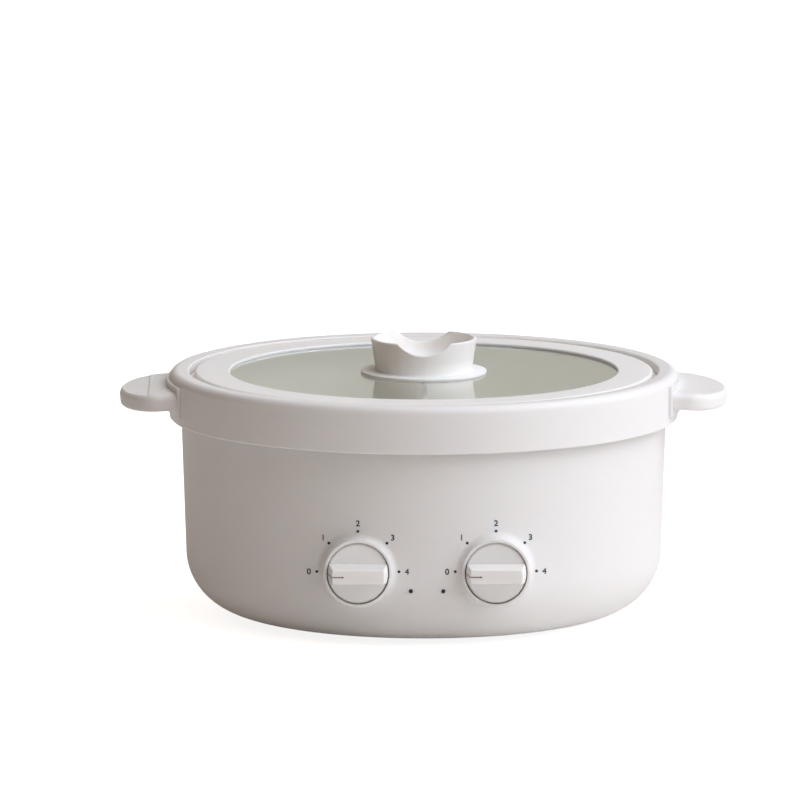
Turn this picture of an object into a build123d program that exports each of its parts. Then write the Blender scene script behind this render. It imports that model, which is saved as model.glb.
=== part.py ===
from build123d import *
import os
from math import cos, radians, sin, sqrt, tan

# Two-zone electric hot pot with a lift-off glass lid.
#
# Millimetres. +Z is up, +Y points away from the cook, and the origin lies on the table under the
# pot's upright axis. Heights ("..._z") are above the table, radii ("..._r") are from that axis.
# Each sub-part is one node; identical fasteners share a node as separate solids.

# ------------------------------------------------------------------ driving sizes
# stance
foot_h = 4.0
foot_pad_r = 9.0
foot_stem_r = 4.0
foot_inset = 22.0            # from the base cover's edge to the feet's circle
foot_chamfer = 1.0
foot_barb = 1.0              # collar that holds the foot in the base cover

# moulded housing
wall = 3.0
corner_r = 38.0
housing_draft = 1.9          # degrees, wider towards the top
ledge_w = 12.0               # how far the ledge reaches in from the base cover's edge
ledge_t = 4.0
ledge_overlap = 6.0          # how far the ledge reaches out over the base cover's edge

# base cover
cover_margin = 8.4           # between the base cover and the housing's rounded corner
cover_t = 3.0
fit_gap = 0.4                # gap round a cover or flange that drops into its seat
vent_l = 24.0
vent_w = 4.0
vent_circle_r = 52.0
vent_count = 12

# top ring
rim_r = 160.5
rim_top_z = 156.8
rim_w = 12.2                 # width of the ring's top
rim_fall = 0.8               # the top surface falls this much towards the lid
rim_round = 5.0
rim_bevel = 0.7
skirt_h = 30.2
skirt_t = 3.0
skirt_gap = 3.4              # between the skirt and the housing's top edge
deck_t = 3.3
lip_t = 2.2
seat_gap = 0.6               # between the seat's inner edge and the pot
seat_t = 2.0
seat_depth = 9.3             # from the ring's top down to the seat of the pot's flange

# side handles
tongue_l = 31.0              # from the ring to the handle's tip
tongue_half_w = 47.0
tongue_end_l = 26.0          # length of its elliptical end
tongue_t = 11.0
tongue_drop = 20.4           # from the ring's top down to its underside
tongue_tilt = 4.0            # degrees, lower towards the tip
tongue_round = 4.4           # along its upper edge
tongue_under_round = 2.4     # along its lower edge
tongue_step = 0.6
tongue_step_l = 12.0         # from the ring to the step in its top
plate_half_w = 48.5
plate_t = 1.8
plate_h = 19.0
plate_up = 5.7               # plate's lower edge above the ring's lower edge
handle_screw_y = 25.0
handle_screw_r = 1.8
handle_screw_head_r = 3.4
handle_screw_l = 13.0
screw_head_t = 1.8
spot_depth = 0.6             # how far the screws' flat seats cut into the ring's skirt

# inner pot
pot_flange_w = 7.9
pot_t = 2.4
pot_base_t = 3.0
pot_base_z = 62.0
pot_corner_r = 36.0
pot_draft = 1.9
pot_flange_t = 2.0
gasket_t = 1.2
gasket_w = 4.4
divider_top_w = 4.0
divider_foot_w = 9.0
divider_drop = 9.0           # divider's top edge below the pot's flange
divider_round = 1.8

# heaters under the pot
plate_gap_half = 7.0         # half the gap between the two heating plates
heat_plate_inset = 6.0       # heating plates' edge inside the heat shield's
heat_plate_t = 5.0
tube_r = 3.3
tube_in_x = 22.0
tube_out_x = 62.0
tube_front_y = -40.0
tube_back_y = 38.0
tube_turn_r = 18.0
tube_drop = 13.0
tube_drop_r = 8.0
groove_gap = 0.05
thermostat_r = 8.5
thermostat_t = 8.0
thermostat_x = 42.0
strap_t = 0.8
strap_w = 7.0
strap_half_l = 19.0
strap_foot_l = 6.0
tab_w = 4.8
tab_t = 0.8
tab_l = 8.0
fuse_r = 2.0
fuse_l = 14.0
fuse_y = 27.0

# heat shield, pillars and posts
shield_z = 36.0
shield_t = 0.8
shield_gap = 4.1             # between the heat shield and the pillars
shield_rim_h = 14.0
shield_window = 26.0
shield_window_corner = 4.0
post_r = 3.5
post_y = 60.0
post_screw_r = 1.5
post_screw_l = 10.0
pillar_r = 3.9               # from its axis to a corner of the hexagon
pillar_screw_r = 2.0
pillar_screw_l = 12.0
pillar_screw_head_r = 3.5
pillar_head_t = 2.2
cover_screw_r = 1.5
cover_screw_l = 7.0
screw_gap = 0.1              # radial gap round a screw in its hole

# control knobs, their wells, shafts and switches
knob_x = 42.7
knob_z = 51.3
bezel_proud = 2.8            # bezel's face beyond the wall's foremost line
bezel_r = 21.4
bezel_w = 2.0
bezel_draft = 8.0
bezel_round = 0.9
bezel_flare = 3.0            # fillet between a well and the housing's wall
well_depth = 10.0
well_floor_t = 2.5
collar_depth = 21.0
knob_gap = 0.65              # between a knob and its well
knob_sink = 1.0              # disc's front face behind the bezel
knob_lift = 0.5              # knob's back edge off the well's floor
knob_skin = 1.8
knob_bevel = 1.0
grip_h = 14.0
grip_taper = 2.5             # how far the grip's ends draw in towards its front face
grip_foot_half = 5.9
grip_front_half = 4.4
grip_round = 0.6
pointer_r = 9.6              # from the knob's axis to the pointer's inner end
pointer_w = 0.7
pointer_depth = 0.3
pointer_dot_r = 0.6
hub_r = 5.2
shaft_r = 3.0
shaft_flat = 2.3             # distance of the shaft's flat from its axis
shaft_fit = 0.05
shaft_in = 9.5
shaft_out = 17.0
switch_w = 26.0
switch_t = 16.0
switch_corner = 3.0
switch_screw_r = 1.4
switch_screw_at = 9.0
switch_screw_l = 9.0
switch_head_r = 2.6
switch_head_t = 1.6

# indicator lamps
lamp_x = 10.0
lamp_z = 39.8
lamp_r = 1.25
lamp_proud = 0.3
lamp_l = 9.0
led_l = 5.0
board_w = 34.0
board_h = 14.0
board_t = 1.6
peg_x = 14.5
peg_r = 2.0

# power inlet at the back
inlet_z = 50.0
inlet_pad_proud = 4.3        # pad's face beyond the wall's rearmost line
inlet_pad_t = 12.0
inlet_pad_w = 56.0
inlet_pad_h = 32.0
inlet_flange_w = 50.0
inlet_flange_h = 27.0
inlet_flange_t = 3.0
inlet_shroud_w = 30.0
inlet_shroud_h = 22.0
inlet_proud = 8.5            # shroud's face beyond the pad's
inlet_depth = 17.0           # shroud's inner end behind the pad's face
inlet_wall = 2.6
socket_depth = 16.5
pin_w = 2.0
pin_h = 4.0
pin_pitch = 7.0
pin_recess = 3.5
pin_tail = 6.0
inlet_screw_x = 20.0
inlet_screw_r = 1.5
inlet_screw_l = 10.0
inlet_corner = 4.0
terminal_w = 32.0
terminal_d = 13.0
terminal_h = 12.0
terminal_ways = 3

# lid
lid_gap = 3.5                # between the lid and the top ring
lid_sink = 1.2               # lid's top below the top ring's
lid_seat_gap = 0.2
lid_round = 1.8
lid_face_w = 22.2            # width of the ring round the glass
window_bevel = 0.6
glass_hold = 7.4             # how far the ring covers the glass
glass_t = 4.0
glass_sink = 1.7             # glass below the ring's top
plug_gap = 0.8
plug_t = 2.4
plug_h = 4.5
lower_lip_t = 1.7
lower_lip_w = 6.0            # how far the lower lip reaches under the glass

# lid knob
grip_flange_w = 9.3
grip_flange_t = 1.8
grip_flange_round = 0.6
cup_foot_r = 30.4
cup_foot_round = 1.0
cup_top_r = 33.4
cup_h = 22.3                 # from the glass to the cup's rim
cup_wall = 2.2
cup_floor_t = 6.0
cup_inner_round = 9.0
saddle_r = 22.0
saddle_depth = 7.2
saddle_shoulder = 2.0
rim_edge_round = 0.7         # along the cup's rim and its saddles
seal_inset = 6.3             # seal's edge inside the flange's
seal_t = 0.6
washer_r = 12.0
washer_t = 1.5
lid_screw_r = 2.5
lid_screw_head_r = 5.0
lid_screw_head_t = 2.5
lid_screw_cover = 1.5        # plastic between the screw's tip and the cup's floor
glass_hole_r = 3.5

# ------------------------------------------------------------------ worked-out places
base_z = foot_h
floor_z = base_z + cover_t
ledge_top_z = floor_z + ledge_t
housing_top_z = rim_top_z - deck_t
ring_bottom_z = rim_top_z - skirt_h
tongue_z = rim_top_z - tongue_drop
rim_in_r = rim_r - rim_w
seat_z = rim_top_z - seat_depth
flange_z = seat_z + gasket_t
pot_top_z = flange_z + pot_flange_t
pot_floor_z = pot_base_z + pot_base_t
pot_flange_r = rim_in_r - fit_gap
pot_mouth_r = pot_flange_r - pot_flange_w
seat_in_r = pot_mouth_r + pot_t + seat_gap
heat_z = pot_base_z - heat_plate_t
lid_r = rim_in_r - lid_gap
lid_top_z = rim_top_z - lid_sink
lid_z = pot_top_z + lid_seat_gap
glass_top_z = lid_top_z - glass_sink
glass_z = glass_top_z - glass_t
window_r = lid_r - lid_face_w
glass_r = window_r + glass_hold
plug_r = pot_mouth_r - plug_gap
cup_top_z = glass_top_z + cup_h
grip_flange_r = cup_foot_r + grip_flange_w
seal_r = grip_flange_r - seal_inset
lid_screw_l = washer_t + glass_t + cup_floor_t - lid_screw_cover
shield_top_z = shield_z + shield_t

sides = {"left": -1, "right": 1}


def housing_radius(z):
    """Outer radius of the drafted side wall at a height."""
    top_r = rim_r - skirt_t - skirt_gap
    return top_r - (housing_top_z - z) * tan(radians(housing_draft))


def bowl_radius(z):
    """Outer radius of the housing at a height, with its rounded corner at the foot."""
    corner_z = base_z + corner_r
    if z >= corner_z:
        return housing_radius(z)
    return housing_radius(corner_z) - corner_r + sqrt(corner_r**2 - (corner_z - z) ** 2)


def pot_radius(z):
    """Inner radius of the drafted pot wall at a height."""
    return pot_mouth_r - (pot_top_z - z) * tan(radians(pot_draft))


def wall_y(x, radius):
    """Distance of an upright round wall from the XZ plane, at a given x."""
    return sqrt(radius**2 - x**2)


# places that follow the housing's wall
cover_r = bowl_radius(base_z) - cover_margin
ledge_in_r = cover_r - ledge_w
ledge_out_r = cover_r + ledge_overlap
pillar_circle_r = cover_r - ledge_w / 2
foot_circle_r = cover_r - foot_inset
shield_r = pillar_circle_r - pillar_r - shield_gap
heat_plate_r = shield_r - heat_plate_inset
well_r = bezel_r - bezel_w
knob_r = well_r - knob_gap
grip_end_r = knob_r - grip_taper
bezel_y = -bowl_radius(knob_z) - bezel_proud
well_floor_y = bezel_y + well_depth
switch_y = well_floor_y + well_floor_t
disc_y = bezel_y + knob_sink
knob_back_y = well_floor_y - knob_lift
grip_y = disc_y - grip_h
lamp_front_y = -wall_y(lamp_x, bowl_radius(lamp_z)) - lamp_proud
board_y = lamp_front_y + lamp_l + led_l
inlet_pad_y = bowl_radius(inlet_z) + inlet_pad_proud
inlet_face_y = inlet_pad_y + inlet_proud
inlet_rear_y = inlet_pad_y - inlet_depth


def facing_front(x, y, z):
    """Work plane whose normal points at the cook, local x to the right and local y up."""
    return Plane(origin=(x, y, z), x_dir=(1, 0, 0), z_dir=(0, -1, 0))


def facing_back(x, y, z):
    """Work plane whose normal points away from the cook, local y up."""
    return Plane(origin=(x, y, z), x_dir=(-1, 0, 0), z_dir=(0, 1, 0))


def screw_seat(sign):
    """Plane under the heads of a handle's screws, facing away from the pot."""
    seat_x = wall_y(handle_screw_y + handle_screw_head_r, rim_r - skirt_t) + spot_depth
    centre = (sign * seat_x, 0, tongue_z + tongue_t / 2)
    return Plane(origin=centre, x_dir=(0, 1, 0), z_dir=(sign, 0, 0))


def corner(sketch, r, z):
    """The sketch corner nearest to a radius and height."""
    return sketch.vertices().sort_by_distance((r, z))[0]


def save(piece, name):
    """Labels a finished piece and writes it as one STEP file."""
    piece.part.label = name
    export_step(piece.part, f"parts/{name}.step")


os.makedirs("parts", exist_ok=True)

# ------------------------------------------------------------------ housing
# One moulding: rounded bowl with a bolting ledge, two knob wells and a pad for the power inlet.
with BuildPart() as outer_housing:
    with BuildSketch(Plane.XZ) as outside:
        with BuildLine():
            Polyline(
                (0, base_z),
                (housing_radius(base_z), base_z),
                (housing_radius(housing_top_z), housing_top_z),
                (0, housing_top_z),
                close=True,
            )
        make_face()
        fillet(corner(outside, housing_radius(base_z), base_z), corner_r)
    revolve(axis=Axis.Z)

    # drafted bosses of the two knob wells, flared into the round wall
    for sign in sides.values():
        bezel = facing_front(sign * knob_x, bezel_y, knob_z)
        with BuildSketch(bezel):
            Circle(bezel_r)
        extrude(amount=-collar_depth, taper=-bezel_draft)
        fillet(outer_housing.edges(Select.NEW).filter_by(GeomType.BSPLINE), bezel_flare)
    fillet(outer_housing.edges().filter_by(GeomType.CIRCLE).group_by(Axis.Y)[0], bezel_round)

    # hollow bowl with its ledge, and the hole of the base cover
    with BuildSketch(Plane.XZ) as inside:
        with BuildLine():
            Polyline(
                (0, floor_z),
                (ledge_in_r, floor_z),
                (ledge_in_r, ledge_top_z),
                (ledge_out_r, ledge_top_z),
                (ledge_out_r, floor_z),
                (housing_radius(floor_z) - wall, floor_z),
                (housing_radius(housing_top_z) - wall, housing_top_z),
                (0, housing_top_z),
                close=True,
            )
        make_face()
        fillet(corner(inside, housing_radius(floor_z) - wall, floor_z), corner_r - wall)
    revolve(axis=Axis.Z, mode=Mode.SUBTRACT)
    with BuildSketch(Plane.XY.offset(base_z)):
        Circle(cover_r + fit_gap)
    extrude(amount=cover_t, mode=Mode.SUBTRACT)

    # wells: hollow in front for the knob, and a collar behind for the switch
    for sign in sides.values():
        well_floor = facing_front(sign * knob_x, well_floor_y, knob_z)
        with BuildSketch(well_floor):
            Circle(well_r + wall)
        extrude(amount=well_depth - collar_depth)
        with BuildSketch(well_floor):
            Circle(well_r)
        extrude(amount=well_depth, mode=Mode.SUBTRACT)
        with BuildSketch(well_floor.offset(-well_floor_t)):
            Circle(well_r)
        extrude(amount=-collar_depth, mode=Mode.SUBTRACT)
        with BuildSketch(well_floor):
            Circle(shaft_r + shaft_fit)
            for end in (-1, 1):
                with Locations((end * switch_screw_at, end * switch_screw_at)):
                    Circle(switch_screw_r + screw_gap)
        extrude(amount=-well_floor_t, mode=Mode.SUBTRACT)

    # pegs for the lamp board, and the two lamp holes
    with BuildSketch(facing_front(0, board_y, lamp_z)):
        with Locations((-peg_x, 0), (peg_x, 0)):
            Circle(peg_r)
    extrude(until=Until.NEXT)
    with BuildSketch(facing_front(0, board_y, lamp_z)):
        with Locations((-lamp_x, 0), (lamp_x, 0)):
            Circle(lamp_r + shaft_fit)
    extrude(amount=lamp_l + led_l + wall, mode=Mode.SUBTRACT)

    # flat pad for the power inlet
    with BuildSketch(facing_back(0, inlet_pad_y, inlet_z)):
        RectangleRounded(inlet_pad_w, inlet_pad_h, inlet_corner)
    extrude(amount=-inlet_pad_t)
    with BuildSketch(facing_back(0, inlet_pad_y, inlet_z)):
        RectangleRounded(inlet_shroud_w + fit_gap, inlet_shroud_h + fit_gap, inlet_corner)
    extrude(amount=-inlet_pad_t, mode=Mode.SUBTRACT)
    with BuildSketch(facing_back(0, inlet_pad_y, inlet_z)):
        with Locations((-inlet_screw_x, 0), (inlet_screw_x, 0)):
            Circle(inlet_screw_r + screw_gap)
    extrude(amount=-inlet_screw_l, mode=Mode.SUBTRACT)

    # counterbored holes of the pot's pillars and blind holes of the base cover
    with BuildSketch(Plane.XY.offset(floor_z)):
        with PolarLocations(pillar_circle_r, 4, start_angle=45):
            Circle(pillar_screw_r + screw_gap)
        with PolarLocations(pillar_circle_r, 4):
            Circle(cover_screw_r + screw_gap)
    extrude(amount=ledge_t, mode=Mode.SUBTRACT)
    with BuildSketch(Plane.XY.offset(floor_z)):
        with PolarLocations(pillar_circle_r, 4, start_angle=45):
            Circle(pillar_screw_head_r + screw_gap)
    extrude(amount=pillar_head_t, mode=Mode.SUBTRACT)
save(outer_housing, "outer_housing")

# ------------------------------------------------------------------ top ring
# Inverted channel over the housing's rim; its inner lip ends in the seat of the pot's flange.
with BuildPart() as top_ring:
    with BuildSketch(Plane.XZ) as channel:
        with BuildLine():
            Polyline(
                (seat_in_r, seat_z - seat_t),
                (rim_in_r + lip_t, seat_z - seat_t),
                (rim_in_r + lip_t, housing_top_z),
                (rim_r - skirt_t, housing_top_z),
                (rim_r - skirt_t, ring_bottom_z),
                (rim_r, ring_bottom_z),
                (rim_r, rim_top_z),
                (rim_in_r, rim_top_z - rim_fall),
                (rim_in_r, seat_z),
                (seat_in_r, seat_z),
                close=True,
            )
        make_face()
        fillet(corner(channel, rim_r, rim_top_z), rim_round)
        chamfer(corner(channel, rim_r, ring_bottom_z), rim_bevel)
        chamfer(corner(channel, rim_in_r, rim_top_z - rim_fall), rim_bevel)
    revolve(axis=Axis.Z)
    # spot faces and holes of the handle screws, drilled from inside the skirt
    for sign in sides.values():
        with BuildSketch(screw_seat(sign)):
            with Locations((-handle_screw_y, 0), (handle_screw_y, 0)):
                Circle(handle_screw_r + screw_gap)
        extrude(amount=skirt_t * 2, mode=Mode.SUBTRACT)
        with BuildSketch(screw_seat(sign)):
            with Locations((-handle_screw_y, 0), (handle_screw_y, 0)):
                Circle(handle_screw_head_r + screw_gap)
        extrude(amount=-skirt_t, mode=Mode.SUBTRACT)
save(top_ring, "top_ring")

# ------------------------------------------------------------------ side handles
tongue_base = (Align.MAX, Align.CENTER)
tongue_tip = (Align.MIN, Align.CENTER)
for side, sign in sides.items():
    with BuildPart() as handle:
        # tongue: a tab with an elliptical end and rounded edges, a little lower at its tip
        lean = radians(tongue_tilt)
        tongue_plane = Plane(
            origin=(sign * rim_r, 0, tongue_z),
            x_dir=(sign * cos(lean), 0, -sin(lean)),
            z_dir=(sign * sin(lean), 0, cos(lean)),
        )
        with BuildSketch(tongue_plane):
            with Locations((tongue_l - tongue_end_l, 0)):
                Ellipse(tongue_end_l, tongue_half_w)
                Rectangle(tongue_l, 2 * tongue_half_w, align=tongue_base)
        extrude(amount=tongue_t)
        rounds = handle.edges().filter_by(GeomType.ELLIPSE).sort_by(Axis.Z)
        fillet(rounds[-1], tongue_round)
        rounds = handle.edges().filter_by(GeomType.ELLIPSE).sort_by(Axis.Z)
        fillet(rounds[0], tongue_under_round)
        # the outer part of its top lies a little lower, as a rest for the thumb
        with BuildSketch(tongue_plane.offset(tongue_t - tongue_step)):
            with Locations((tongue_step_l, 0)):
                Rectangle(tongue_l, 2 * tongue_half_w, align=tongue_tip)
        extrude(amount=tongue_t, mode=Mode.SUBTRACT)
        # what would lie inside the ring is cut away
        with BuildSketch(Plane.XY.offset(ring_bottom_z)):
            Circle(rim_r)
        extrude(amount=skirt_h, mode=Mode.SUBTRACT)
        # escutcheon plate against the ring
        with BuildSketch(Plane.XY.offset(ring_bottom_z + plate_up)):
            Circle(rim_r + plate_t)
            Circle(rim_r, mode=Mode.SUBTRACT)
            with Locations((sign * rim_r, 0)):
                Rectangle(rim_r / 2, 2 * plate_half_w, mode=Mode.INTERSECT)
        extrude(amount=plate_h)
        with BuildSketch(screw_seat(sign)):
            with Locations((-handle_screw_y, 0), (handle_screw_y, 0)):
                Circle(handle_screw_r)
        extrude(amount=handle_screw_l, mode=Mode.SUBTRACT)
    save(handle, f"handle_{side}")

with BuildPart() as handle_screws:
    for sign in sides.values():
        with BuildSketch(screw_seat(sign)):
            with Locations((-handle_screw_y, 0), (handle_screw_y, 0)):
                Circle(handle_screw_r)
        extrude(amount=handle_screw_l)
        with BuildSketch(screw_seat(sign)):
            with Locations((-handle_screw_y, 0), (handle_screw_y, 0)):
                Circle(handle_screw_head_r)
        extrude(amount=-screw_head_t)
save(handle_screws, "handle_screws")

# ------------------------------------------------------------------ inner pot
# Cast bowl with a rolled flange and a straight divider between the two flavours.
with BuildPart() as inner_pot:
    with BuildSketch(Plane.XZ) as bowl:
        with BuildLine():
            Polyline(
                (0, pot_base_z),
                (pot_radius(pot_base_z) + pot_t, pot_base_z),
                (pot_radius(flange_z) + pot_t, flange_z),
                (pot_flange_r, flange_z),
                (pot_flange_r, pot_top_z),
                (pot_mouth_r, pot_top_z),
                (pot_radius(pot_floor_z), pot_floor_z),
                (0, pot_floor_z),
                close=True,
            )
        make_face()
        fillet(corner(bowl, pot_radius(pot_base_z) + pot_t, pot_base_z), pot_corner_r)
        fillet(corner(bowl, pot_radius(pot_floor_z), pot_floor_z), pot_corner_r - pot_t)
    revolve(axis=Axis.Z)

# The divider is a drafted wall trimmed to the middle of the pot's wall, so it grows out of it.
with BuildPart() as divider:
    with BuildSketch(Plane.XZ) as web:
        with BuildLine():
            Polyline(
                (-divider_foot_w / 2, pot_floor_z),
                (divider_foot_w / 2, pot_floor_z),
                (divider_top_w / 2, pot_top_z - divider_drop),
                (-divider_top_w / 2, pot_top_z - divider_drop),
                close=True,
            )
        make_face()
        fillet(web.vertices().group_by(Axis.Y)[-1], divider_round)
    extrude(amount=pot_mouth_r, both=True)
    with BuildSketch(Plane.XZ) as cavity:
        with BuildLine():
            Polyline(
                (0, pot_floor_z - pot_base_t / 2),
                (pot_radius(pot_floor_z) + pot_t / 2, pot_floor_z - pot_base_t / 2),
                (pot_mouth_r + pot_t / 2, pot_top_z),
                (0, pot_top_z),
                close=True,
            )
        make_face()
        fillet(
            corner(cavity, pot_radius(pot_floor_z) + pot_t / 2, pot_floor_z - pot_base_t / 2),
            pot_corner_r - pot_t / 2,
        )
    revolve(axis=Axis.Z, mode=Mode.INTERSECT)
with inner_pot:
    add(divider.part)
save(inner_pot, "inner_pot")

with BuildPart() as rim_gasket:
    with BuildSketch(Plane.XY.offset(seat_z)):
        Circle(pot_flange_r)
        Circle(pot_flange_r - gasket_w, mode=Mode.SUBTRACT)
    extrude(amount=gasket_t)
save(rim_gasket, "rim_gasket")

# ------------------------------------------------------------------ heaters under the pot
for side, sign in sides.items():
    # the tube's route: down-turned end, run, turn at the back, run, down-turned end
    tube_stops = [
        (sign * tube_in_x, tube_front_y, heat_z - tube_drop),
        (sign * tube_in_x, tube_front_y, heat_z),
        (sign * tube_in_x, tube_back_y, heat_z),
        (sign * tube_out_x, tube_back_y, heat_z),
        (sign * tube_out_x, tube_front_y, heat_z),
        (sign * tube_out_x, tube_front_y, heat_z - tube_drop),
    ]
    tube_turns = [tube_drop_r, tube_turn_r, tube_turn_r, tube_drop_r]

    with BuildPart() as heating_tube:
        with BuildLine():
            FilletPolyline(*tube_stops, radius=tube_turns)
        with BuildSketch(Plane(origin=tube_stops[0], z_dir=(0, 0, 1))):
            Circle(tube_r)
        sweep()
    save(heating_tube, f"heating_tube_{side}")

    # D-shaped plate with a half-round groove for its tube
    with BuildPart() as heating_plate:
        with BuildSketch(Plane.XY.offset(heat_z)):
            Circle(heat_plate_r)
            with Locations((sign * (plate_gap_half + heat_plate_r), 0)):
                Rectangle(2 * heat_plate_r, 2 * heat_plate_r, mode=Mode.INTERSECT)
        extrude(amount=heat_plate_t)
        with BuildLine():
            FilletPolyline(*tube_stops, radius=tube_turns)
        with BuildSketch(Plane(origin=tube_stops[0], z_dir=(0, 0, 1))):
            Circle(tube_r + groove_gap)
        sweep(mode=Mode.SUBTRACT)
    save(heating_plate, f"heating_plate_{side}")

    # snap-disc thermostat with two blade terminals
    with BuildPart() as thermostat:
        with BuildSketch(Plane.XY.offset(heat_z - thermostat_t)):
            with Locations((sign * thermostat_x, 0)):
                Circle(thermostat_r)
        extrude(amount=thermostat_t)
        with BuildSketch(Plane.XY.offset(heat_z - thermostat_t)):
            with Locations((sign * thermostat_x, 0)):
                with GridLocations(strap_w + 2 * tab_t, 0, 2, 1):
                    Rectangle(tab_t, tab_w)
        extrude(amount=-tab_l)
    save(thermostat, f"thermostat_{side}")

# spring straps that press the thermostats to their plates
with BuildPart() as thermostat_straps:
    for sign in sides.values():
        with BuildSketch(Plane.YZ.offset(sign * thermostat_x - strap_w / 2)):
            with BuildLine():
                Polyline(
                    (-strap_half_l, heat_z - strap_t / 2),
                    (-strap_half_l + strap_foot_l, heat_z - strap_t / 2),
                    (-thermostat_r - strap_t, heat_z - thermostat_t - strap_t / 2),
                    (thermostat_r + strap_t, heat_z - thermostat_t - strap_t / 2),
                    (strap_half_l - strap_foot_l, heat_z - strap_t / 2),
                    (strap_half_l, heat_z - strap_t / 2),
                )
            trace(line_width=strap_t)
        extrude(amount=strap_w)
save(thermostat_straps, "thermostat_straps")

with BuildPart() as thermal_fuses:
    for sign in sides.values():
        with BuildSketch(Plane.YZ.offset(sign * thermostat_x - fuse_l / 2)):
            with Locations((fuse_y, heat_z - fuse_r)):
                Circle(fuse_r)
        extrude(amount=fuse_l)
save(thermal_fuses, "thermal_fuses")

# ------------------------------------------------------------------ heat shield and supports
with BuildPart() as heat_shield:
    with BuildSketch(Plane.XY.offset(shield_z)):
        Circle(shield_r)
    extrude(amount=shield_rim_h)
    with BuildSketch(Plane.XY.offset(shield_top_z)):
        Circle(shield_r - shield_t)
    extrude(amount=shield_rim_h, mode=Mode.SUBTRACT)
    with BuildSketch(Plane.XY.offset(shield_z)):
        with Locations((0, -post_y), (0, post_y)):
            Circle(post_screw_r + screw_gap)
        with GridLocations(2 * thermostat_x, 0, 2, 1):
            RectangleRounded(shield_window, shield_window, shield_window_corner)
    extrude(amount=shield_t, mode=Mode.SUBTRACT)
save(heat_shield, "heat_shield")

with BuildPart() as shield_posts:
    with BuildSketch(Plane.XY.offset(shield_top_z)):
        with Locations((0, -post_y), (0, post_y)):
            Circle(post_r)
    extrude(amount=pot_base_z - shield_top_z)
    with BuildSketch(Plane.XY.offset(shield_top_z)):
        with Locations((0, -post_y), (0, post_y)):
            Circle(post_screw_r)
    extrude(amount=post_screw_l, mode=Mode.SUBTRACT)
save(shield_posts, "shield_posts")

with BuildPart() as shield_screws:
    with BuildSketch(Plane.XY.offset(shield_z)):
        with Locations((0, -post_y), (0, post_y)):
            Circle(post_screw_r)
    extrude(amount=post_screw_l)
    with BuildSketch(Plane.XY.offset(shield_z)):
        with Locations((0, -post_y), (0, post_y)):
            Circle(post_r)
    extrude(amount=-screw_head_t)
save(shield_screws, "shield_screws")

# hexagonal pillars clamp the pot's flange and the top ring down on the housing
with BuildPart() as pot_pillars:
    with BuildSketch(Plane.XY.offset(ledge_top_z)):
        with PolarLocations(pillar_circle_r, 4, start_angle=45):
            RegularPolygon(pillar_r, 6)
    extrude(amount=pot_base_z - ledge_top_z)
    with BuildSketch(Plane.XY.offset(ledge_top_z)):
        with PolarLocations(pillar_circle_r, 4, start_angle=45):
            Circle(pillar_screw_r)
    extrude(amount=pillar_screw_l, mode=Mode.SUBTRACT)
save(pot_pillars, "pot_pillars")

with BuildPart() as pillar_screws:
    with BuildSketch(Plane.XY.offset(floor_z)):
        with PolarLocations(pillar_circle_r, 4, start_angle=45):
            Circle(pillar_screw_head_r)
    extrude(amount=pillar_head_t)
    with BuildSketch(Plane.XY.offset(floor_z + pillar_head_t)):
        with PolarLocations(pillar_circle_r, 4, start_angle=45):
            Circle(pillar_screw_r)
    extrude(amount=pillar_screw_l)
save(pillar_screws, "pillar_screws")

# ------------------------------------------------------------------ base cover and feet
with BuildPart() as base_cover:
    with BuildSketch(Plane.XY.offset(base_z)):
        Circle(cover_r)
        with PolarLocations(foot_circle_r, 4, start_angle=45):
            Circle(foot_stem_r + screw_gap, mode=Mode.SUBTRACT)
        with PolarLocations(pillar_circle_r, 4):
            Circle(cover_screw_r + screw_gap, mode=Mode.SUBTRACT)
        with PolarLocations(vent_circle_r, vent_count):
            Rectangle(vent_l, vent_w, mode=Mode.SUBTRACT)
    extrude(amount=cover_t)
    with BuildSketch(Plane.XY.offset(base_z)):
        with PolarLocations(pillar_circle_r, 4):
            Circle(2 * cover_screw_r + screw_gap)
    extrude(amount=screw_head_t, mode=Mode.SUBTRACT)
save(base_cover, "base_cover")

with BuildPart() as cover_screws:
    with BuildSketch(Plane.XY.offset(base_z)):
        with PolarLocations(pillar_circle_r, 4):
            Circle(cover_screw_r)
    extrude(amount=cover_screw_l)
    with BuildSketch(Plane.XY.offset(base_z)):
        with PolarLocations(pillar_circle_r, 4):
            Circle(2 * cover_screw_r)
    extrude(amount=screw_head_t)
save(cover_screws, "cover_screws")

with BuildPart() as feet:
    with BuildSketch():
        with PolarLocations(foot_circle_r, 4, start_angle=45):
            Circle(foot_pad_r)
    extrude(amount=foot_h)
    chamfer(feet.edges().group_by(Axis.Z)[0], foot_chamfer)
    with BuildSketch(Plane.XY.offset(base_z)):
        with PolarLocations(foot_circle_r, 4, start_angle=45):
            Circle(foot_stem_r)
    extrude(amount=cover_t)
    with BuildSketch(Plane.XY.offset(floor_z)):
        with PolarLocations(foot_circle_r, 4, start_angle=45):
            Circle(foot_stem_r + foot_barb)
    extrude(amount=foot_barb)
save(feet, "feet")

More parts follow.
